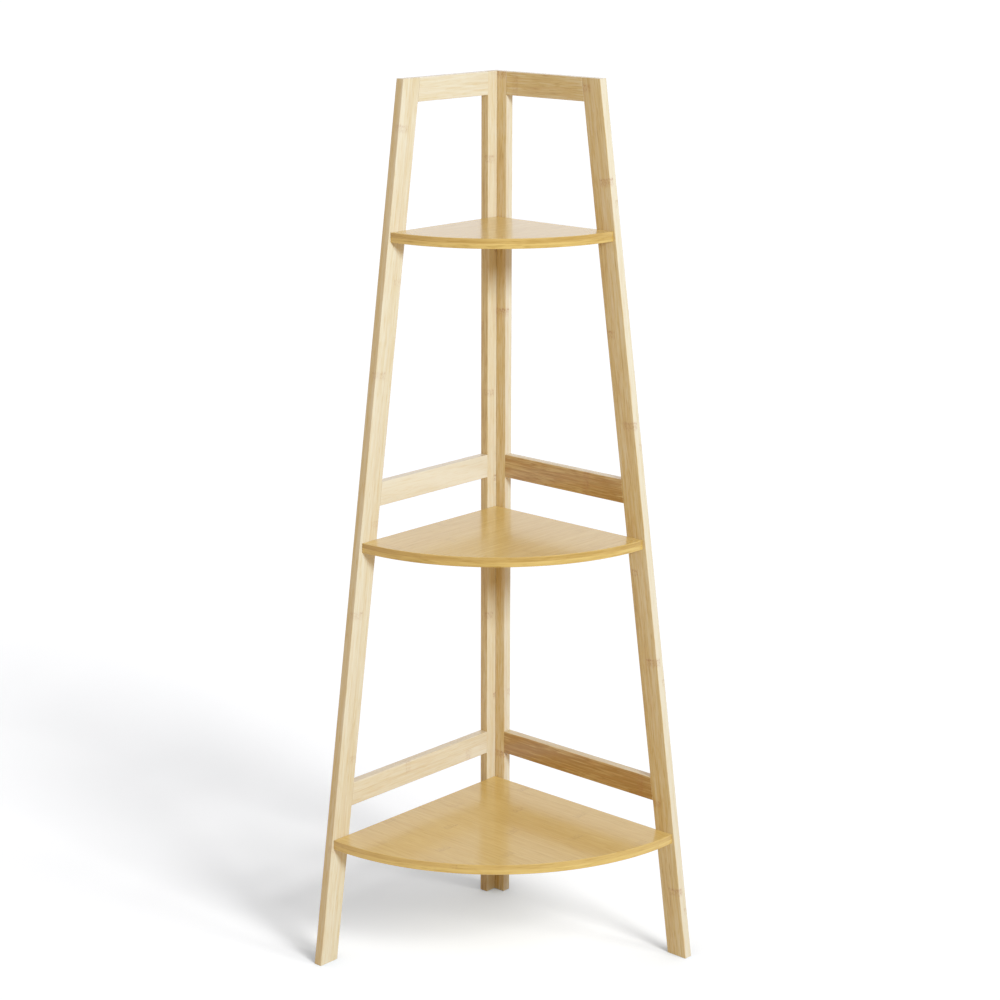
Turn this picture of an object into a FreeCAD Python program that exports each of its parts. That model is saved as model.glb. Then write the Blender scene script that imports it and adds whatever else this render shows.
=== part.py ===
import FreeCAD, Part
import math
import os

# Three-tier corner shelf of laminated bamboo: two splayed side frames that stand at a right angle
# and carry three quarter-round shelves.
# The origin is the floor point in the corner of the room. The left wall is the plane x = 0, the right
# wall is the plane y = 0, and +Z is up. The left frame runs along -Y, the right frame along +X.

# Battens and boards
batten_thickness = 12.0
post_face = 16.0             # width of each rear post that shows inside the corner
leg_width = 29.0             # square to the leg's length
top_rail_height = 29.0
cross_rail_height = 30.0
shelf_thickness = 12.5
edge_chamfer = 0.8           # easing of the long edges

# Heights, one upon the other from the floor
bottom_shelf_height = 163.0  # floor to the bottom shelf's top
lower_bay_pitch = 376.0      # bottom shelf's top to middle shelf's top
upper_bay_pitch = 379.0      # middle shelf's top to top shelf's top
headroom = 182.0             # top shelf's top to the frames' top
lower_rail_rise = 37.0       # bottom shelf's top to the lower rail's underside
middle_rail_rise = 41.0      # middle shelf's top to the middle rail's underside

# Reach of the legs along the walls, and how far each shelf's front stays behind the legs' front edges
foot_reach = 340.0
top_reach = 179.0
bottom_shelf_setback = 2.0
middle_shelf_setback = 3.0
top_shelf_setback = 2.0

# Glued fluted dowels, one in each rail end
dowel_diameter = 6.0
dowel_flutes = 8
dowel_length = 24.0
dowel_clearance = 0.05
dowel_end_gap = 1.0

# Countersunk screws
screw_diameter = 4.0
screw_head_diameter = 8.0
screw_head_sink = 0.3        # the head's top lies this far below the wood
screw_clearance = 0.1
screw_end_gap = 1.0
shelf_screw_length = 40.0
corner_screw_length = 24.0
leg_screw_share = 0.6        # of the leg's width, from its front edge

cut_overrun = 1.0

# Worked out from the sizes above
post_width = batten_thickness + post_face
middle_shelf_height = bottom_shelf_height + lower_bay_pitch
top_shelf_height = middle_shelf_height + upper_bay_pitch
frame_height = top_shelf_height + headroom
lower_rail_base = bottom_shelf_height + lower_rail_rise
middle_rail_base = middle_shelf_height + middle_rail_rise
top_rail_base = frame_height - top_rail_height
leg_lean = math.atan2(foot_reach - top_reach, frame_height)
leg_run = leg_width / math.cos(leg_lean)     # the leg's width along the floor

PARALLEL_SINE = 1e-6         # edges at a smaller angle count as parallel
UP = FreeCAD.Vector(0, 0, 1)
ALONG = {"left": FreeCAD.Vector(0, -1, 0), "right": FreeCAD.Vector(1, 0, 0)}
INWARD = {"left": FreeCAD.Vector(1, 0, 0), "right": FreeCAD.Vector(0, -1, 0)}

RAILS = {
    "top_rail": (top_rail_base, top_rail_height),
    "middle_rail": (middle_rail_base, cross_rail_height),
    "lower_rail": (lower_rail_base, cross_rail_height),
}
SHELVES = {
    "top_shelf": (top_shelf_height, top_shelf_setback),
    "middle_shelf": (middle_shelf_height, middle_shelf_setback),
    "bottom_shelf": (bottom_shelf_height, bottom_shelf_setback),
}


def leg_front(height):
    """How far the leg's front edge stands from the corner, along the wall, at a height."""
    return foot_reach - height * math.tan(leg_lean)


def leg_back(height):
    """The same for the leg's rear edge, which the rails meet."""
    return leg_front(height) - leg_run


def at(side, along, inward, height):
    """A point of one frame, from its reach along the wall, its depth off the wall and its height."""
    return ALONG[side] * along + INWARD[side] * inward + UP * height


def ease_along(solid, direction):
    """The solid with its edges in that direction eased."""
    edges = [e for e in solid.Edges if e.tangentAt(e.FirstParameter).cross(direction).Length < PARALLEL_SINE]
    return solid.makeChamfer(edge_chamfer, edges)


def batten(side, outline, direction):
    """A flat batten against the wall, from its outline of (along, height) points, eased lengthwise."""
    points = [at(side, along, 0, height) for along, height in outline]
    face = Part.Face(Part.makePolygon(points + points[:1]))
    solid = face.extrude(INWARD[side] * batten_thickness)
    return ease_along(solid, direction)


def rear_post(side):
    """The left post spans the corner, and the right post stands against its inner face."""
    start = {"left": 0, "right": batten_thickness}[side]
    outline = [(start, 0), (post_width, 0), (post_width, frame_height), (start, frame_height)]
    return batten(side, outline, UP)


def front_leg(side):
    """The leaning leg, cut level at the floor and at the top."""
    outline = [(edge(height), height) for height, edge in (
        (0, leg_back), (0, leg_front), (frame_height, leg_front), (frame_height, leg_back))]
    lean = at(side, leg_front(frame_height), 0, frame_height) - at(side, leg_front(0), 0, 0)
    return batten(side, outline, lean.normalize())


def rail(side, base, height):
    """A rail between post and leg, its front end cut to the leg's lean."""
    top = base + height
    outline = [(post_width, base), (leg_back(base), base), (leg_back(top), top), (post_width, top)]
    return batten(side, outline, ALONG[side])


def shelf(top, setback):
    """A quarter-round board that fits into the inner corner, its two rims eased all round."""
    radius = leg_front(top) - batten_thickness - setback
    centre = FreeCAD.Vector(batten_thickness, -batten_thickness, top - shelf_thickness)
    right_tip = centre + ALONG["right"] * radius
    left_tip = centre + ALONG["left"] * radius
    middle = centre + (ALONG["right"] + ALONG["left"]).normalize() * radius
    outline = Part.Wire([
        Part.makeLine(centre, right_tip),
        Part.Arc(right_tip, middle, left_tip).toShape(),
        Part.makeLine(left_tip, centre),
    ])
    board = Part.Face(outline).extrude(UP * shelf_thickness)
    rims = [e for e in board.Edges if e.BoundBox.ZLength < edge_chamfer]
    return board.makeChamfer(edge_chamfer, rims)


def turned(profile, origin, direction):
    """A turned solid, from (radius, distance) points, along a direction from an origin."""
    points = [FreeCAD.Vector(radius, 0, distance) for radius, distance in profile]
    solid = Part.Face(Part.makePolygon(points + points[:1])).revolve(FreeCAD.Vector(), UP)
    solid.Placement = FreeCAD.Placement(origin, FreeCAD.Rotation(UP, direction))
    return solid


def dowel(middle, direction):
    """A dowel centred on the joint that it bridges, with a flat between each two ridges for its flute."""
    turns = [2 * math.pi * k / dowel_flutes for k in range(dowel_flutes)]
    ridges = [FreeCAD.Vector(math.cos(turn), math.sin(turn), 0) * (dowel_diameter / 2) for turn in turns]
    peg = Part.Face(Part.makePolygon(ridges + ridges[:1])).extrude(UP * dowel_length)
    start = middle - direction * (dowel_length / 2)
    peg.Placement = FreeCAD.Placement(start, FreeCAD.Rotation(UP, direction))
    return peg


def dowel_hole(middle, direction):
    """The two holes that a dowel sits in, as one cylinder across the joint."""
    radius = dowel_diameter / 2 + dowel_clearance
    length = dowel_length + 2 * dowel_end_gap
    return Part.makeCylinder(radius, length, middle - direction * (length / 2), direction)


def screw(length, origin, direction):
    """A countersunk screw that goes in at a point of the wood's face."""
    shank = screw_diameter / 2
    head = screw_head_diameter / 2
    tip = screw_head_sink + length
    profile = [(0, screw_head_sink), (head, screw_head_sink), (shank, screw_head_sink + head - shank),
               (shank, tip), (0, tip)]
    return turned(profile, origin, direction)


def screw_hole(length, origin, direction):
    """The countersunk hole for that screw: its head bears on the cone, and its shank has clearance."""
    shank = screw_diameter / 2 + screw_clearance
    mouth = screw_head_diameter / 2 + screw_head_sink + cut_overrun
    end = screw_head_sink + length + screw_end_gap
    profile = [(0, -cut_overrun), (mouth, -cut_overrun), (shank, mouth - cut_overrun - shank),
               (shank, end), (0, end)]
    return turned(profile, origin, direction)


pieces = {}
for side in ("left", "right"):
    pieces[f"{side}_rear_post"] = rear_post(side)
    pieces[f"{side}_front_leg"] = front_leg(side)
    for name, (base, height) in RAILS.items():
        pieces[f"{side}_{name}"] = rail(side, base, height)
for name, (top, setback) in SHELVES.items():
    pieces[name] = shelf(top, setback)


def bore(node, hole):
    """Cuts a hole in a piece."""
    pieces[node] = pieces[node].cut(hole)


def dowel_rail(side, name):
    """Dowels a rail to its post and its leg, and keeps the dowels as one group."""
    base, height = RAILS[name]
    level = base + height / 2
    dowels = []
    for neighbour, along in (("rear_post", post_width), ("front_leg", leg_back(level))):
        middle = at(side, along, batten_thickness / 2, level)
        dowels.append(dowel(middle, ALONG[side]))
        hole = dowel_hole(middle, ALONG[side])
        bore(f"{side}_{name}", hole)
        bore(f"{side}_{neighbour}", hole)
    pieces[f"{side}_{name}_dowels"] = Part.makeCompound(dowels)


def screw_shelf(name):
    """Screws a shelf to both legs and to the left post, from the walls' side."""
    top, _ = SHELVES[name]
    level = top - shelf_thickness / 2
    leg_place = leg_front(level) - leg_run * leg_screw_share
    post_place = batten_thickness + post_face / 2
    places = [
        ("left", "front_leg", leg_place),
        ("right", "front_leg", leg_place),
        ("left", "rear_post", post_place),
    ]
    screws = []
    for side, batten_name, along in places:
        origin = at(side, along, 0, level)
        screws.append(screw(shelf_screw_length, origin, INWARD[side]))
        hole = screw_hole(shelf_screw_length, origin, INWARD[side])
        bore(f"{side}_{batten_name}", hole)
        bore(name, hole)
    pieces[f"{name}_screws"] = Part.makeCompound(screws)


def screw_corner():
    """Screws the left post to the right post's edge, in the middle of each clear stretch above a shelf."""
    stretches = [
        (lower_rail_base + cross_rail_height, middle_shelf_height - shelf_thickness),
        (middle_rail_base + cross_rail_height, top_shelf_height - shelf_thickness),
        (top_shelf_height, top_rail_base),
    ]
    screws = []
    for low, high in stretches:
        origin = at("left", batten_thickness / 2, 0, (low + high) / 2)
        screws.append(screw(corner_screw_length, origin, INWARD["left"]))
        hole = screw_hole(corner_screw_length, origin, INWARD["left"])
        bore("left_rear_post", hole)
        bore("right_rear_post", hole)
    pieces["corner_screws"] = Part.makeCompound(screws)


for side in ("left", "right"):
    for name in RAILS:
        dowel_rail(side, name)
for name in SHELVES:
    screw_shelf(name)
screw_corner()

os.makedirs("parts", exist_ok=True)
for name, shape in pieces.items():
    shape.exportStep(f"parts/{name}.step")
    print(f"{name}: {len(shape.Solids)} solids, {shape.Volume:.0f} mm3, valid {shape.isValid()}")
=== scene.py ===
import math

import bpy
from mathutils import Euler, Matrix, Vector


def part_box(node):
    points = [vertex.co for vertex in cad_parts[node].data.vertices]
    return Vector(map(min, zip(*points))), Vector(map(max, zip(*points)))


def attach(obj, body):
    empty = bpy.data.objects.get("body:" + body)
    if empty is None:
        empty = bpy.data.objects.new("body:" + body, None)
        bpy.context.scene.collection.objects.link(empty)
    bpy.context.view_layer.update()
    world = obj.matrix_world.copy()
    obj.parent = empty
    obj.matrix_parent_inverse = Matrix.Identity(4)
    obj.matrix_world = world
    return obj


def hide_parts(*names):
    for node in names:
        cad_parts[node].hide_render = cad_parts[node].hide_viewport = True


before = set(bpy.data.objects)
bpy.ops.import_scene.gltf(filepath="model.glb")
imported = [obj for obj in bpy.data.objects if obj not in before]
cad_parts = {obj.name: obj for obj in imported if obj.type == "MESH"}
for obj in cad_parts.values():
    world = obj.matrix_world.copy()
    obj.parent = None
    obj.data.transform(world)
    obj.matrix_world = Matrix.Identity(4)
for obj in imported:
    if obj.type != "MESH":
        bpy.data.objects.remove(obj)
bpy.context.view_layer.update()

# Three-tier corner shelf of laminated bamboo. Lengths are in metres. The origin is the floor point
# in the corner of the room: the left frame runs along -Y, the right frame along +X, and +Z is up.

UP = Vector((0, 0, 1))
ALONG = {"left": Vector((0, -1, 0)), "right": Vector((1, 0, 0))}
INWARD = {"left": Vector((1, 0, 0)), "right": Vector((0, -1, 0))}
RAILS = ("top_rail", "middle_rail", "lower_rail")
SHELVES = ("top_shelf", "middle_shelf", "bottom_shelf")


def span(node, direction):
    """How near and how far a CAD node reaches along a direction from the corner."""
    reaches = [corner.dot(direction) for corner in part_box(node)]
    return min(reaches), max(reaches)


# Sizes of the frames, read off the CAD nodes
frame_height = span("left_rear_post", UP)[1]
batten_thickness = span("left_front_leg", INWARD["left"])[1]
post_width = span("left_rear_post", ALONG["left"])[1]
foot_reach = span("right_front_leg", ALONG["right"])[1]
lower_rail_base = span("right_lower_rail", UP)[0]
lower_rail_reach = span("right_lower_rail", ALONG["right"])[1]
top_rail_base = span("right_top_rail", UP)[0]
top_rail_reach = span("right_top_rail", ALONG["right"])[1]
leg_slope = (lower_rail_reach - top_rail_reach) / (top_rail_base - lower_rail_base)
leg_run = foot_reach - lower_rail_reach - lower_rail_base * leg_slope
leg_width = leg_run * math.cos(math.atan(leg_slope))
shelf_thickness = span("top_shelf", UP)[1] - span("top_shelf", UP)[0]

# Eased edges
batten_easing = (0.0003, 0.0009, 0.0009)   # over the ends, the sides and the faces
ease_steps = 3
shelf_easing = 0.0009
arc_steps = 64
rim_angle = math.radians(40)      # sharper edges of a shelf are eased
crease_angle = math.radians(12)   # sharper edges of a mesh stay crisp

# Countersunk screws, as in the CAD nodes that they stand for
screw_diameter = 0.004
screw_head_diameter = 0.008
screw_head_sink = 0.0003
screw_clearance = 0.0001
screw_end_gap = 0.001
shelf_screw_length = 0.040
corner_screw_length = 0.024
leg_screw_share = 0.6
screw_sides = 32
point_length = 0.005
point_diameter = 0.0006
socket_width = 0.0025
socket_depth = 0.0015
thread_pitch = 0.0018
thread_rise = 0.0004
thread_steps = 16            # in each turn
cut_overrun = 0.001

# How each piece of bamboo looks: the tones of its faces and of its edges, from pale (0) to caramel (1);
# the width of its strips; how far from its start a knuckle of its first strip lies; how strong its
# knuckles are
# On the frames the tones are partly the bamboo's own and partly painted light and shade: paler on faces and
# edges turned to +X, towards the soft box, and deeper on those turned to -Y
LOOKS = {
    "left_rear_post": (0.17, 0.53, 0.0165, 0.280, 0.7),
    "left_front_leg": (0.16, 0.34, 0.0165, 0.456, 0.4),
    "left_top_rail": (0.14, 0.05, 0.0310, 0.210, 0.2),
    "left_middle_rail": (0.05, 0.05, 0.0310, 0.250, 0.3),
    "left_lower_rail": (0.14, 0.15, 0.0160, 0.040, 0.4),
    "right_rear_post": (0.48, 0.14, 0.0165, 0.500, 0.8),
    "right_front_leg": (0.48, 0.06, 0.0170, 0.091, 0.8),
    "right_top_rail": (0.53, 0.20, 0.0310, 0.018, 0.4),
    "right_middle_rail": (0.92, 0.30, 0.0310, 0.140, 0.6),
    "right_lower_rail": (0.98, 0.35, 0.0310, 0.236, 0.6),
    "top_shelf": (0.42, 0.82, 0.0210, 0.050, 0.3),
    "middle_shelf": (0.33, 0.84, 0.0210, 0.120, 0.3),
    "bottom_shelf": (0.34, 0.62, 0.0200, 0.063, 0.5),
}
SHELF_GRAIN = {"top_shelf": "left", "middle_shelf": "left", "bottom_shelf": "right"}
grain_offset = 0.0004         # keeps glue lines off a piece's faces
knuckles_between = 10         # along the grain from one piece's start to the next one's

# Bamboo: strips in plies, where each strip has a shade and a shift of its knuckles of its own
ply_thickness = 0.0066
ply_stagger = 0.43
strips_per_ply = 5.0
phase_step = 0.618
shade_step = 0.377
figure_step = 3.1
glue_width = (0.0001, 0.0006)     # full, and where it has faded out

# Knuckles: a darker band just before a thin ridge
knuckle_pitch = 0.300
band_lead = 0.0035
band_width = (0.0015, 0.0075)
ridge_width = (0.0003, 0.0018)
knuckle_wander = 0.006
wander_width = 0.005

# Figure of the bamboo: the length and the width of its marks, and how finely they break up
FIGURE = {
    "clouds": (0.220, 0.0120, 1.0),
    "streaks": (0.070, 0.0036, 2.0),
    "fibres": (0.034, 0.0012, 3.0),
    "dashes": (0.016, 0.0014, 1.0),
    "blushes": (0.045, 0.0030, 2.0),
    "specks": (0.0026, 0.0015, 1.0),
}

# Marks on the zinc of the screws and the beech of the dowels
bloom_size = 0.0020
scratch_size = (0.00012, 0.00060, 0.00012)
beech_fleck = 0.0009


class Socket:
    """A node's output. Arithmetic on it adds Math nodes, or Vector Math nodes for a vector, to its tree."""

    def __init__(self, tree, output):
        self.tree = tree
        self.output = output

    def math(self, operation, *values):
        vectors = [v for v in values if isinstance(v, Socket) and v.output.type == "VECTOR"]
        kind = "ShaderNodeVectorMath" if vectors else "ShaderNodeMath"
        return self.tree.add(kind, {"operation": operation}, dict(enumerate(values)))

    def __add__(self, other):
        return self.math("ADD", self, other)

    def __radd__(self, other):
        return self.math("ADD", other, self)

    def __sub__(self, other):
        return self.math("SUBTRACT", self, other)

    def __rsub__(self, other):
        return self.math("SUBTRACT", other, self)

    def __mul__(self, other):
        return self.math("MULTIPLY", self, other)

    def __rmul__(self, other):
        return self.math("MULTIPLY", other, self)

    def __truediv__(self, other):
        return self.math("DIVIDE", self, other)

    def __abs__(self):
        return self.math("ABSOLUTE", self)

    def floor(self):
        return self.math("FLOOR", self)

    def fraction(self):
        return self.math("FRACTION" if self.output.type == "VECTOR" else "FRACT", self)

    def at_most(self, other):
        return self.math("MINIMUM", self, other)

    def at_least(self, other):
        return self.math("MAXIMUM", self, other)

    def parts(self):
        """The three numbers of a vector."""
        first = self.tree.add("ShaderNodeSeparateXYZ", inputs={0: self})
        return [Socket(self.tree, output) for output in first.output.node.outputs]

    def fading(self, start, end):
        """A mask that is 1 up to start and falls smoothly to 0 at end."""
        return self.tree.add("ShaderNodeMapRange", {"interpolation_type": "SMOOTHSTEP"},
                             {"Value": self, "From Min": start, "From Max": end, "To Min": 1, "To Max": 0})


class Tree:
    """A node tree, and one way to add any node to it."""

    def __init__(self, nodes):
        self.nodes = nodes

    def add(self, kind, settings=None, inputs=None, output=0):
        node = self.nodes.nodes.new(kind)
        for name, value in (settings or {}).items():
            setattr(node, name, value)
        for name, value in (inputs or {}).items():
            socket = node.inputs[name]
            for item in value if isinstance(value, list) else [value]:
                if isinstance(item, Socket):
                    self.nodes.links.new(item.output, socket)
                elif socket.type == "VECTOR" and isinstance(item, (int, float)):
                    socket.default_value = (item, item, item)
                else:
                    socket.default_value = item
        return Socket(self, node.outputs[output])

    def vector(self, x, y, z):
        return self.add("ShaderNodeCombineXYZ", inputs={0: x, 1: y, 2: z})

    def mixed(self, factor, first, second):
        """One colour mixed into another. The colour sockets of a Mix node come after its numbers."""
        return self.add("ShaderNodeMix", {"data_type": "RGBA"}, {0: factor, 6: first, 7: second}, output=2)

    def noise(self, place, detail=2.0):
        return self.add("ShaderNodeTexNoise", inputs={"Vector": place, "Scale": 1.0, "Detail": detail})

    def group_input(self, name, kind):
        self.nodes.interface.new_socket(name, in_out="INPUT", socket_type=kind)
        return self.add("NodeGroupInput", output=name)

    def group_output(self, geometry, finish):
        """Ends a geometry tree: real meshes, with their finish."""
        self.nodes.interface.new_socket("Geometry", in_out="OUTPUT", socket_type="NodeSocketGeometry")
        real = self.add("GeometryNodeRealizeInstances", inputs={"Geometry": geometry})
        finished = self.add("GeometryNodeSetMaterial", inputs={"Geometry": real, "Material": finish})
        end = self.nodes.nodes.new("NodeGroupOutput")
        self.nodes.links.new(finished.output, end.inputs[0])
        return self.nodes


def new_material(name):
    """A material with an empty node tree."""
    material = bpy.data.materials.new(name)
    material.use_nodes = True
    material.node_tree.nodes.clear()
    return material, Tree(material.node_tree)


def surface(tree, shader):
    """Puts a shader on a material's or a world's output."""
    on_world = isinstance(tree.nodes.id_data, bpy.types.World)
    end = tree.nodes.nodes.new("ShaderNodeOutputWorld" if on_world else "ShaderNodeOutputMaterial")
    tree.nodes.links.new(shader.output, end.inputs["Surface"])


def bamboo(name, pale, gold, deep, russet, mark, strip_contrast, ply_contrast, liveliness, coat_roughness):
    """Bamboo strips glued side by side under clear lacquer, with fibres, streaks, knuckles and glue lines."""
    material, tree = new_material(name)
    grain = tree.add("ShaderNodeAttribute", {"attribute_name": "grain"}, output="Vector")
    along, across, through = grain.parts()
    timber = tree.add("ShaderNodeAttribute", {"attribute_name": "timber"}, output="Vector")
    # On the frames the tone holds painted light and shade as well as the bamboo's own tone
    tone, strip_width, knuckle_strength = timber.parts()

    ply = (through / ply_thickness).floor()
    lane = across / strip_width + ply * ply_stagger
    strip = lane.floor() + ply * strips_per_ply
    shade = (strip * shade_step).fraction()
    shift = strip * figure_step

    def stretched(kind):
        """Noise drawn out along the grain, in patches of that kind's length and width."""
        length, width, detail = FIGURE[kind]
        place = tree.vector(along / length + shift, across / width + shift, through / width)
        return tree.noise(place, detail)

    def above(noise, level, gain):
        """A mask of the patches where a noise rises above a level."""
        return ((noise - level).at_least(0) * gain).at_most(1)

    clouds = stretched("clouds") - 0.5
    streaks = stretched("streaks") - 0.5
    fibres = stretched("fibres") - 0.5
    dash = above(stretched("dashes"), 0.54, 6.0)
    blush = above(stretched("blushes"), 0.50, 5.0)
    flecks = above(stretched("specks"), 0.46, 5.0)

    wander = tree.noise(tree.vector(across / wander_width, shift, ply)) - 0.5
    beat = (along + wander * knuckle_wander) / knuckle_pitch + (strip * phase_step).fraction()
    past = ((beat + 0.5).fraction() - 0.5) * knuckle_pitch
    strength = (1 - shade * 0.6) * knuckle_strength
    band = abs(past + band_lead).fading(*band_width) * strength
    ridge = abs(past).fading(*ridge_width) * strength
    knuckle = band * (flecks * 0.50 + 0.14) + ridge * (flecks * 0.34 + 0.14)

    glue = ((0.5 - abs(lane.fraction() - 0.5)) * strip_width).fading(*glue_width)
    lower_ply = (ply / 2).fraction() * 2

    life = (0.45 + tone.at_least(0)) * liveliness
    figure = clouds * 0.40 + streaks * 0.75 + fibres * 0.75 + dash * 0.24 - 0.03
    depth = tone + (shade - 0.5) * strip_contrast - lower_ply * ply_contrast + figure * life
    colour = tree.mixed(depth * 2, pale, gold)
    colour = tree.mixed(depth * 2 - 1, colour, deep)
    colour = tree.mixed(blush * (0.10 + tone.at_least(0) * 0.22), colour, russet)
    colour = tree.mixed(knuckle * 0.95, colour, mark)
    colour = tree.mixed(glue * 0.14, colour, mark)

    relief = fibres * 0.4 + band * 0.4 - glue
    bump = tree.add("ShaderNodeBump", inputs={"Strength": 0.25, "Distance": 0.0002, "Height": relief})
    shader = tree.add("ShaderNodeBsdfPrincipled", inputs={
        "Base Color": colour,
        "Roughness": 0.46 + fibres * 0.25,
        "Specular IOR Level": 0.25,
        "Coat Weight": 1.0,
        "Coat Roughness": coat_roughness,
        "Normal": bump,
    })
    surface(tree, shader)
    return material


def zinc_plate(name):
    """Zinc-plated steel: pale grey with a faint warm bloom and fine scratches."""
    material, tree = new_material(name)
    place = tree.add("ShaderNodeTexCoord", output="Object")
    bloom = tree.noise(place / bloom_size, 3.0)
    scratches = tree.noise(place / scratch_size, 2.0)
    shader = tree.add("ShaderNodeBsdfPrincipled", inputs={
        "Base Color": tree.mixed(bloom, (0.58, 0.58, 0.57, 1), (0.70, 0.67, 0.58, 1)),
        "Metallic": 1.0,
        "Roughness": 0.28 + scratches * 0.20,
    })
    surface(tree, shader)
    return material


def beech(name):
    """Bare beech of the dowels: pink-brown with short darker flecks."""
    material, tree = new_material(name)
    place = tree.add("ShaderNodeTexCoord", output="Object")
    flecks = tree.noise(place / beech_fleck, 3.0)
    shader = tree.add("ShaderNodeBsdfPrincipled", inputs={
        "Base Color": tree.mixed(flecks, (0.66, 0.48, 0.31, 1), (0.50, 0.33, 0.19, 1)),
        "Roughness": 0.62 + flecks * 0.15,
    })
    surface(tree, shader)
    return material


frame_bamboo = bamboo("frame_bamboo", pale=(0.86, 0.755, 0.575, 1), gold=(0.71, 0.515, 0.225, 1),
                      deep=(0.44, 0.235, 0.062, 1), russet=(0.66, 0.37, 0.135, 1), mark=(0.43, 0.17, 0.06, 1),
                      strip_contrast=0.10, ply_contrast=0.0, liveliness=0.9, coat_roughness=0.22)
shelf_bamboo = bamboo("shelf_bamboo", pale=(0.87, 0.64, 0.235, 1), gold=(0.745, 0.50, 0.148, 1),
                      deep=(0.52, 0.305, 0.055, 1), russet=(0.66, 0.38, 0.09, 1), mark=(0.42, 0.19, 0.045, 1),
                      strip_contrast=0.10, ply_contrast=0.25, liveliness=0.9, coat_roughness=0.19)
screw_zinc = zinc_plate("screw_zinc")
dowel_beech = beech("dowel_beech")


def made_by(tree, name, sizes, base=None):
    """A piece that a geometry tree makes from its named sizes."""
    piece = bpy.data.objects.new(name, base or bpy.data.meshes.new(name))
    bpy.context.scene.collection.objects.link(piece)
    shape = piece.modifiers.new("shape", "NODES")
    shape.node_group = tree
    for item in tree.interface.items_tree:
        if item.name in sizes:
            shape[item.identifier] = sizes[item.name]
    return piece


def settle(piece):
    """Gives a piece the plain mesh that its modifiers make."""
    depsgraph = bpy.context.evaluated_depsgraph_get()
    mesh = bpy.data.meshes.new_from_object(piece.evaluated_get(depsgraph))
    piece.modifiers.clear()
    piece.data = mesh
    mesh.name = piece.name
    return piece


def move_to(piece, matrix):
    """Moves a piece's mesh to its place, with its faces still outwards where the place is mirrored."""
    piece.data.transform(matrix)
    if matrix.determinant() < 0:
        piece.data.flip_normals()


def eased_batten():
    """A batten from its corner along +X, with rounded edges and with ends cut on the slant."""
    tree = Tree(bpy.data.node_groups.new("eased_batten", "GeometryNodeTree"))
    size = tree.group_input("Size", "NodeSocketVector")
    easing = tree.group_input("Easing", "NodeSocketVector")
    start_cut = tree.group_input("Start Cut", "NodeSocketFloat")
    end_cut = tree.group_input("End Cut", "NodeSocketFloat")
    count = 2 * ease_steps + 2
    cube = tree.add("GeometryNodeMeshCube", inputs={
        "Size": 1.0, "Vertices X": count, "Vertices Y": count, "Vertices Z": count})
    place = tree.add("GeometryNodeInputPosition")
    turn = (abs(place) * (count - 1.0) - 0.5) / float(ease_steps)
    rounded = place.math("SIGN", place) * (size / 2.0 - easing + turn.math("NORMALIZE", turn) * easing)
    x, y, z = (rounded + size / 2.0).parts()
    slant = start_cut + (end_cut - start_cut) * (x / size.parts()[0])
    moved = tree.add("GeometryNodeSetPosition", inputs={
        "Geometry": cube, "Position": tree.vector(x + y * slant, y, z)})
    return tree.group_output(moved, frame_bamboo)


def quarter_round():
    """A quarter-round board about its corner, from -Y round to +X."""
    tree = Tree(bpy.data.node_groups.new("quarter_round", "GeometryNodeTree"))
    radius = tree.group_input("Radius", "NodeSocketFloat")
    thickness = tree.group_input("Thickness", "NodeSocketFloat")
    outline = tree.add("GeometryNodeCurveArc", {"mode": "RADIUS"}, {
        "Resolution": arc_steps + 1, "Radius": radius, "Start Angle": -math.pi / 2,
        "Sweep Angle": math.pi / 2, "Connect Center": True})
    sheet = tree.add("GeometryNodeFillCurve", {"mode": "NGONS"}, {"Curve": outline})
    raised = tree.add("GeometryNodeExtrudeMesh", inputs={
        "Mesh": sheet, "Offset": UP, "Offset Scale": thickness, "Individual": False})
    underside = tree.add("GeometryNodeFlipFaces", inputs={"Mesh": sheet})
    joined = tree.add("GeometryNodeJoinGeometry", inputs={"Geometry": [raised, underside]})
    board = tree.add("GeometryNodeMergeByDistance", inputs={"Geometry": joined})
    return tree.group_output(board, shelf_bamboo)


def pin(tree, rim, shank, length, tip_length, point):
    """A turned pin along +Z: a cone from its rim in to its shank, the shank, and its point."""
    steps = 3.0
    stock = tree.add("GeometryNodeMeshCylinder", {"fill_type": "NGON"}, {
        "Vertices": screw_sides, "Side Segments": int(steps), "Radius": 1.0, "Depth": 1.0})
    x, y, z = tree.add("GeometryNodeInputPosition").parts()
    ring = (z + 0.5) * steps
    cone = ring.at_most(1)
    body = (ring - 1).at_least(0).at_most(1)
    tip = (ring - 2).at_least(0)
    taper = rim - shank
    radius = rim - taper * cone - (shank - point) * tip
    height = cone * taper + body * (length - taper - tip_length) + tip * tip_length
    return tree.add("GeometryNodeSetPosition", inputs={
        "Geometry": stock, "Position": tree.vector(x * radius, y * radius, height)})


def set_in(tree, points, thing):
    """A copy of a thing at each point, with its +Z along the direction stored there."""
    direction = tree.add("GeometryNodeInputNamedAttribute", {"data_type": "FLOAT_VECTOR"},
                         {"Name": "direction"})
    turn = tree.add("FunctionNodeAlignRotationToVector", {"axis": "Z"}, {"Vector": direction})
    return tree.add("GeometryNodeInstanceOnPoints", inputs={
        "Points": points, "Instance": thing, "Rotation": turn})


def lifted(tree, thing, height):
    """A thing moved along +Z."""
    return tree.add("GeometryNodeTransform", inputs={
        "Geometry": thing, "Translation": tree.vector(0, 0, height)})


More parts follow.
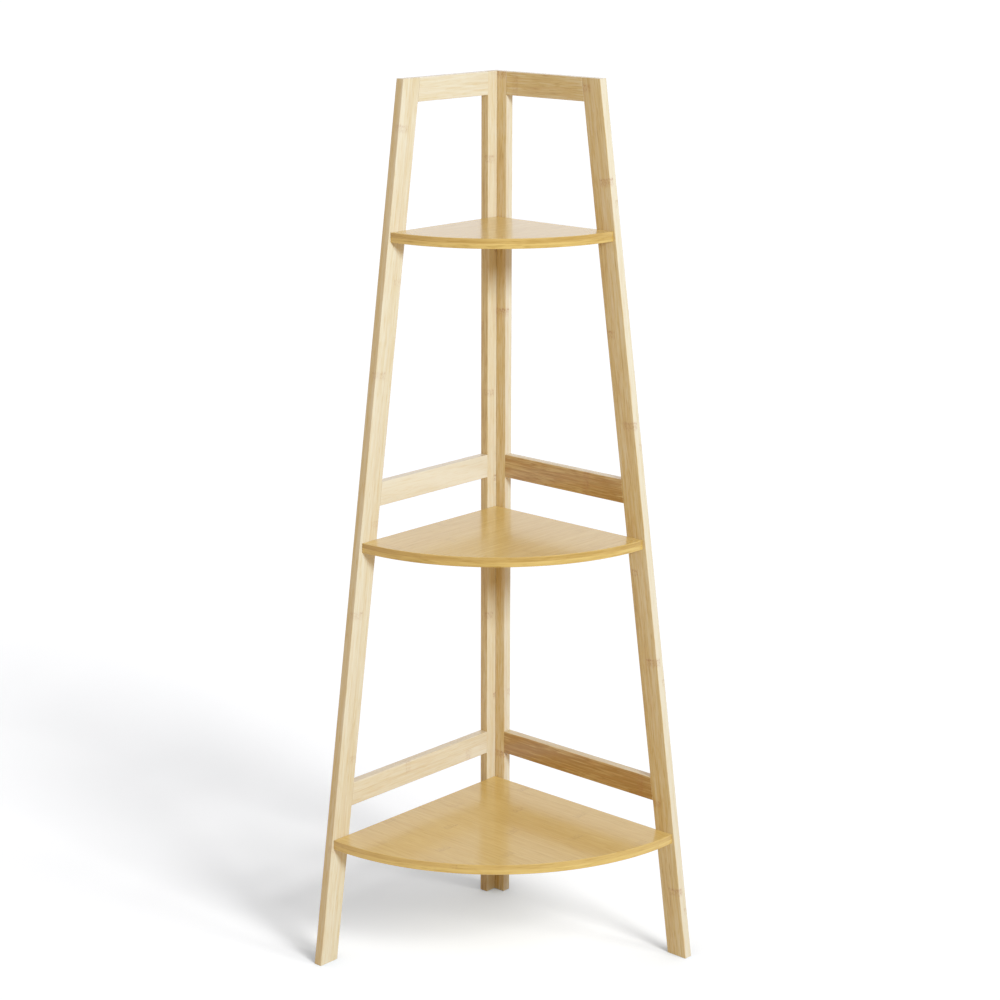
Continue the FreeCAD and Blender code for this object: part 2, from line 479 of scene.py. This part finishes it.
def countersunk_screws():
    """Threaded countersunk screws with a hexagon socket, their heads just under the wood's face."""
    tree = Tree(bpy.data.node_groups.new("countersunk_screws", "GeometryNodeTree"))
    points = tree.group_input("Points", "NodeSocketGeometry")
    length = tree.group_input("Length", "NodeSocketFloat")
    head = screw_head_diameter / 2
    core = screw_diameter / 2 - thread_rise
    blank = pin(tree, head, core, length, point_length, point_diameter / 2)
    key = tree.add("GeometryNodeMeshCylinder", {"fill_type": "NGON"}, {
        "Vertices": 6, "Radius": socket_width / math.sqrt(3), "Depth": 2 * socket_depth})
    socketed = tree.add("GeometryNodeMeshBoolean", {"operation": "DIFFERENCE", "solver": "EXACT"},
                        {"Mesh 1": blank, "Mesh 2": key})
    threaded = length - head - point_length
    helix = tree.add("GeometryNodeCurveSpiral", inputs={
        "Resolution": thread_steps, "Rotations": threaded / thread_pitch,
        "Start Radius": core, "End Radius": core, "Height": threaded})
    ridge = tree.add("GeometryNodeCurvePrimitiveCircle", inputs={"Resolution": 4, "Radius": thread_rise})
    thread = tree.add("GeometryNodeCurveToMesh", inputs={
        "Curve": helix, "Profile Curve": ridge, "Fill Caps": True})
    screw = tree.add("GeometryNodeJoinGeometry", inputs={
        "Geometry": [socketed, lifted(tree, thread, head)]})
    return tree.group_output(set_in(tree, points, lifted(tree, screw, screw_head_sink)), screw_zinc)


def screw_holes():
    """Cutters for the screws' countersunk holes."""
    tree = Tree(bpy.data.node_groups.new("screw_holes", "GeometryNodeTree"))
    points = tree.group_input("Points", "NodeSocketGeometry")
    length = tree.group_input("Length", "NodeSocketFloat")
    mouth = screw_head_diameter / 2 + screw_head_sink + cut_overrun
    bore = screw_diameter / 2 + screw_clearance
    depth = length + (cut_overrun + screw_head_sink + screw_end_gap)
    cutter = lifted(tree, pin(tree, mouth, bore, depth, screw_end_gap, bore), -cut_overrun)
    return tree.group_output(set_in(tree, points, cutter), screw_zinc)


def leg_front(height):
    """How far a leg's front edge stands from the corner, along the wall, at a height."""
    return foot_reach - height * leg_slope


def lay_grain(piece, node, start, along, across, through, hub=None):
    """Stores where each corner of a face lies in the piece's own bamboo, and how that bamboo looks, its tones
    partly painted light and shade.
    On a rim about a hub the grain runs round with the rim."""
    tone, edge_tone, strip_width, knuckle, knuckle_strength = LOOKS[node]
    apart = list(LOOKS).index(node) * knuckles_between * knuckle_pitch
    origin = start + along * (knuckle - apart) - (across + through) * grain_offset
    mesh = piece.data
    grain = mesh.attributes.new("grain", "FLOAT_VECTOR", "CORNER")
    timber = mesh.attributes.new("timber", "FLOAT_VECTOR", "FACE")
    for face, item in zip(mesh.polygons, timber.data):
        flatness = abs(face.normal.dot(through))
        # A face's tone, from its face and edge tones, holds painted light and shade on the frames as well as
        # the bamboo's own tone
        item.vector = (edge_tone + (tone - edge_tone) * flatness, strip_width, knuckle_strength)
        outward = face.center - hub if hub else Vector()
        bent = face.normal.dot(outward) > abs(face.normal.z) * outward.length
        for loop in face.loop_indices:
            point = mesh.vertices[mesh.loops[loop].vertex_index].co
            reach = point - origin
            place = (reach.dot(along), reach.dot(across), reach.dot(through))
            if bent:
                spoke = point - hub
                place = (spoke.length * math.atan2(spoke.y, spoke.x) - apart, 0.0, reach.dot(through))
            grain.data[loop].vector = place


def dress(piece, node):
    """Smooths a finished piece and puts it on the frame, in the place of its CAD node."""
    piece.data.shade_smooth()
    piece.data.set_sharp_from_angle(angle=crease_angle)
    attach(piece, "root")
    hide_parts(node)


def drill(piece, *cutters):
    """Cuts holes in a piece."""
    for cutter in cutters:
        cut = piece.modifiers.new("hole", "BOOLEAN")
        cut.operation = "DIFFERENCE"
        cut.object = cutter
        cut.solver = "EXACT"
    settle(piece)


def screw_points(name, places):
    """A mesh of points on the wood's faces, each with the direction that a screw goes in."""
    mesh = bpy.data.meshes.new(name)
    mesh.from_pydata([point for point, _ in places], [], [])
    direction = mesh.attributes.new("direction", "FLOAT_VECTOR", "POINT")
    for item, (_, inward) in zip(direction.data, places):
        item.vector = inward
    return mesh


def shelf_screw_places(shelf):
    """A shelf's screws: one through each leg, and one through the left post."""
    level = span(shelf, UP)[1] - shelf_thickness / 2
    leg_place = leg_front(level) - leg_run * leg_screw_share
    post_place = (batten_thickness + post_width) / 2
    reaches = (("left", leg_place), ("right", leg_place), ("left", post_place))
    return [(ALONG[side] * reach + UP * level, INWARD[side]) for side, reach in reaches]


def corner_screw_places():
    """The screws that join the two posts, in the middle of each clear stretch above a shelf."""
    stretches = (
        ("left_lower_rail", "middle_shelf"),
        ("left_middle_rail", "top_shelf"),
        ("top_shelf", "left_top_rail"),
    )
    middles = [(span(below, UP)[1] + span(above, UP)[0]) / 2 for below, above in stretches]
    return [(ALONG["left"] * (batten_thickness / 2) + UP * middle, INWARD["left"]) for middle in middles]


def screwed(tree, name, length, places):
    """What a screw tree makes at each of those places, as one piece."""
    return settle(made_by(tree, name, {"Length": length}, screw_points(name, places)))


hole_tree = screw_holes()
shelf_places = [place for name in SHELVES for place in shelf_screw_places(name)]
shelf_holes = screwed(hole_tree, "shelf_holes", shelf_screw_length, shelf_places)
corner_holes = screwed(hole_tree, "corner_holes", corner_screw_length, corner_screw_places())
batten_tree = eased_batten()


def batten(name, side, start, length_axis, width_axis, size, cuts, cutters):
    """A batten of a frame, from its first corner on the frame's inner face."""
    piece = made_by(batten_tree, name + "_timber", {
        "Size": (*size, batten_thickness), "Easing": batten_easing, "Start Cut": cuts[0], "End Cut": cuts[1]})
    settle(piece)
    through = -INWARD[side]
    matrix = Matrix((length_axis, width_axis, through)).transposed().to_4x4()
    matrix.translation = start
    move_to(piece, matrix)
    drill(piece, *cutters)
    lay_grain(piece, name, start, length_axis, width_axis, through)
    dress(piece, name)


def rear_post(side):
    """An upright post of the corner. The left one takes the shelves' screws as well."""
    near, far = span(f"{side}_rear_post", ALONG[side])
    start = ALONG[side] * near + INWARD[side] * batten_thickness
    cutters = {"left": (shelf_holes, corner_holes), "right": (corner_holes,)}[side]
    size = (frame_height, far - near)
    batten(f"{side}_rear_post", side, start, UP, ALONG[side], size, (0.0, 0.0), cutters)


def front_leg(side):
    """The leaning leg, whose ends are level."""
    start = ALONG[side] * foot_reach + INWARD[side] * batten_thickness
    lean = (UP - ALONG[side] * leg_slope).normalized()
    rearward = (-ALONG[side] - UP * leg_slope).normalized()
    size = (frame_height * math.hypot(1, leg_slope), leg_width)
    cuts = (leg_slope, leg_slope)
    batten(f"{side}_front_leg", side, start, lean, rearward, size, cuts, (shelf_holes,))


def rail(side, name):
    """A rail from the post to the leg, its front end cut to the leg's lean."""
    base, top = span(f"{side}_{name}", UP)
    far = span(f"{side}_{name}", ALONG[side])[1]
    start = ALONG[side] * post_width + INWARD[side] * batten_thickness + UP * base
    size = (far - post_width, top - base)
    batten(f"{side}_{name}", side, start, ALONG[side], UP, size, (0.0, -leg_slope), ())


for side in ("left", "right"):
    rear_post(side)
    front_leg(side)
    for name in RAILS:
        rail(side, name)

board_tree = quarter_round()


def shelf(name):
    """A quarter-round shelf with eased rims, set in the inner corner of the posts."""
    base, top = span(name, UP)
    near, far = span(name, ALONG["right"])
    piece = made_by(board_tree, name + "_timber", {"Radius": far - near, "Thickness": top - base})
    easing = piece.modifiers.new("easing", "BEVEL")
    easing.width = shelf_easing
    easing.segments = ease_steps
    easing.limit_method = "ANGLE"
    easing.angle_limit = rim_angle
    settle(piece)
    corner = (INWARD["left"] + INWARD["right"]) * batten_thickness
    move_to(piece, Matrix.Translation(corner + UP * base))
    drill(piece, shelf_holes)
    along = ALONG[SHELF_GRAIN[name]]
    across = INWARD[SHELF_GRAIN[name]]
    lay_grain(piece, name, corner + UP * top, along, across, -UP, corner + UP * (base + top) / 2)
    dress(piece, name)


for name in SHELVES:
    shelf(name)

screw_tree = countersunk_screws()


def screw_set(name, length, places):
    """A group of screws."""
    dress(screwed(screw_tree, name + "_set", length, places), name)


for name in SHELVES:
    screw_set(f"{name}_screws", shelf_screw_length, shelf_screw_places(name))
screw_set("corner_screws", corner_screw_length, corner_screw_places())

for node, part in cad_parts.items():
    if node.endswith("_dowels"):
        part.data.materials.clear()
        part.data.materials.append(dowel_beech)

for cutter in (shelf_holes, corner_holes):
    bpy.data.objects.remove(cutter)

# Stage: a white floor that keeps the shelf's shadow, a cool soft box in front on the right, and a warm
# room all round. The floor has lamps of its own, so that its shadow stays grey.
room_colour = (0.430, 0.320, 0.210, 1)
box_colour = (0.65, 0.815, 0.985)
box_azimuth = -18             # degrees from +X
box_distance = 4.0
box_height = 2.4
box_width = 0.9
box_light = 0.94              # that falls on the shelf
box_target = Vector((0.12, -0.12, 0.55))
# Azimuth from +X, elevation and spread in degrees, and light that falls on the floor, in times the room's
FLOOR_LAMPS = {
    "low_floor_lamp": (14, 18, 17, 0.52),
    "middle_floor_lamp": (-7, 34, 17, 1.37),
    "high_floor_lamp": (-14, 46, 17, 0.70),
}
floor_half_width = 60.0
floor_grey = 0.180            # how bright the room's light alone shows the floor, the same in each colour
floor_shade = (*(floor_grey / part for part in room_colour[:3]), 1)
floor_lift = (0.403, 0.404, 0.414, 1)
floor_bounce = (0.36, 0.41, 0.39, 1)
# Painted contact shadow: the floor's glow is darkened near the feet, out to this reach
contact_reach = 0.12          # how near a foot darkens the floor


def seen_rays(tree):
    """1 for the rays that show the stage: from the camera, in a reflection or through glass."""
    camera = tree.add("ShaderNodeLightPath", output="Is Camera Ray")
    glossy = tree.add("ShaderNodeLightPath", output="Is Glossy Ray")
    clear = tree.add("ShaderNodeLightPath", output="Is Transmission Ray")
    return camera.at_least(glossy).at_least(clear)


def white_floor():
    """White to the eye, with the shelf's shadow on it and a painted contact shadow round the feet. What it
    throws back on the shelf is dimmer.
    """
    material, tree = new_material("white_floor")
    shade = tree.add("ShaderNodeBsdfDiffuse", inputs={"Color": floor_shade})
    # Painted contact shadow: an occlusion test darkens the floor's glow near the feet
    openness = tree.add("ShaderNodeAmbientOcclusion", {"samples": 2}, {"Distance": contact_reach},
                        output="AO")
    lift = tree.add("ShaderNodeEmission", inputs={"Color": tree.mixed(openness, (0, 0, 0, 1), floor_lift)})
    shown = tree.add("ShaderNodeAddShader", inputs={0: shade, 1: lift})
    bounce = tree.add("ShaderNodeBsdfDiffuse", inputs={"Color": floor_bounce})
    surface(tree, tree.add("ShaderNodeMixShader", inputs={0: seen_rays(tree), 1: bounce, 2: shown}))
    return material


def lay_floor():
    """A floor that reaches out of sight."""
    mesh = bpy.data.meshes.new("floor")
    reach = floor_half_width
    corners = [(-reach, -reach, 0), (reach, -reach, 0), (reach, reach, 0), (-reach, reach, 0)]
    mesh.from_pydata(corners, [], [(0, 1, 2, 3)])
    mesh.materials.append(white_floor())
    floor = bpy.data.objects.new("floor", mesh)
    bpy.context.scene.collection.objects.link(floor)
    return floor


def pointing(azimuth, elevation):
    """The direction at an azimuth from +X and an elevation, in degrees."""
    turn = Euler((0, -math.radians(elevation), math.radians(azimuth)), "XYZ")
    return turn.to_matrix() @ Vector((1, 0, 0))


def lamp(name, kind, place, towards, colour, energy):
    """A lamp that shines from a place, against the direction towards it."""
    light = bpy.data.lights.new(name, kind)
    light.color = colour
    light.energy = energy
    holder = bpy.data.objects.new(name, light)
    holder.location = place
    holder.rotation_euler = towards.to_track_quat("Z", "Y").to_euler()
    holder.visible_camera = False
    holder.visible_glossy = False
    bpy.context.scene.collection.objects.link(holder)
    return holder


def lit_by(holder, floor, state):
    """Lets a lamp light the floor alone, or all but the floor."""
    group = bpy.data.collections.new(holder.name)
    group.objects.link(floor)
    group.collection_objects[0].light_linking.link_state = state
    holder.light_linking.receiver_collection = group


def light_room(floor):
    """A world that is white to the eye and a dim warm room for the rest, with the lamps in it."""
    world = bpy.data.worlds.new("room")
    world.use_nodes = True
    world.node_tree.nodes.clear()
    bpy.context.scene.world = world
    tree = Tree(world.node_tree)
    fill = tree.add("ShaderNodeBackground", inputs={"Color": room_colour, "Strength": 1.0})
    white = tree.add("ShaderNodeBackground", inputs={"Color": (1, 1, 1, 1), "Strength": 1.0})
    surface(tree, tree.add("ShaderNodeMixShader", inputs={0: seen_rays(tree), 1: fill, 2: white}))

    place = pointing(box_azimuth, 0) * box_distance + UP * box_height
    towards = place - box_target
    energy = box_light * math.pi ** 2 * towards.length_squared
    soft_box = lamp("soft_box", "AREA", place, towards, box_colour, energy)
    soft_box.data.size = box_width
    lit_by(soft_box, floor, "EXCLUDE")

    for name, (azimuth, elevation, spread, light) in FLOOR_LAMPS.items():
        energy = light * math.pi / math.sin(math.radians(elevation))
        holder = lamp(name, "SUN", UP, pointing(azimuth, elevation), room_colour[:3], energy)
        holder.data.angle = math.radians(spread)
        lit_by(holder, floor, "INCLUDE")


# Camera, as fitted to the photograph
camera_azimuth = math.radians(41.93)
camera_reach = 3.0620
camera_side = 0.00644
camera_height = 1.3447
camera_pitch = math.radians(14.688)
camera_roll = math.radians(0.182)
camera_lens = 86.81
camera_sensor = 36.0


def set_camera():
    """A camera that looks at the shelf as the photograph does."""
    data = bpy.data.cameras.new("camera")
    data.lens = camera_lens
    data.sensor_width = camera_sensor
    data.sensor_fit = "HORIZONTAL"
    data.clip_end = 4 * floor_half_width
    turn = Matrix.Rotation(camera_azimuth, 4, "Z")
    tilt = Matrix.Rotation(math.pi / 2 - camera_pitch, 4, "X") @ Matrix.Rotation(camera_roll, 4, "Z")
    stand = turn @ Matrix.Translation((camera_side, -camera_reach, camera_height))
    camera = bpy.data.objects.new("camera", data)
    camera.matrix_world = stand @ tilt
    bpy.context.scene.collection.objects.link(camera)
    bpy.context.scene.camera = camera


light_room(lay_floor())
set_camera()
bpy.context.scene.view_settings.view_transform = "Standard"
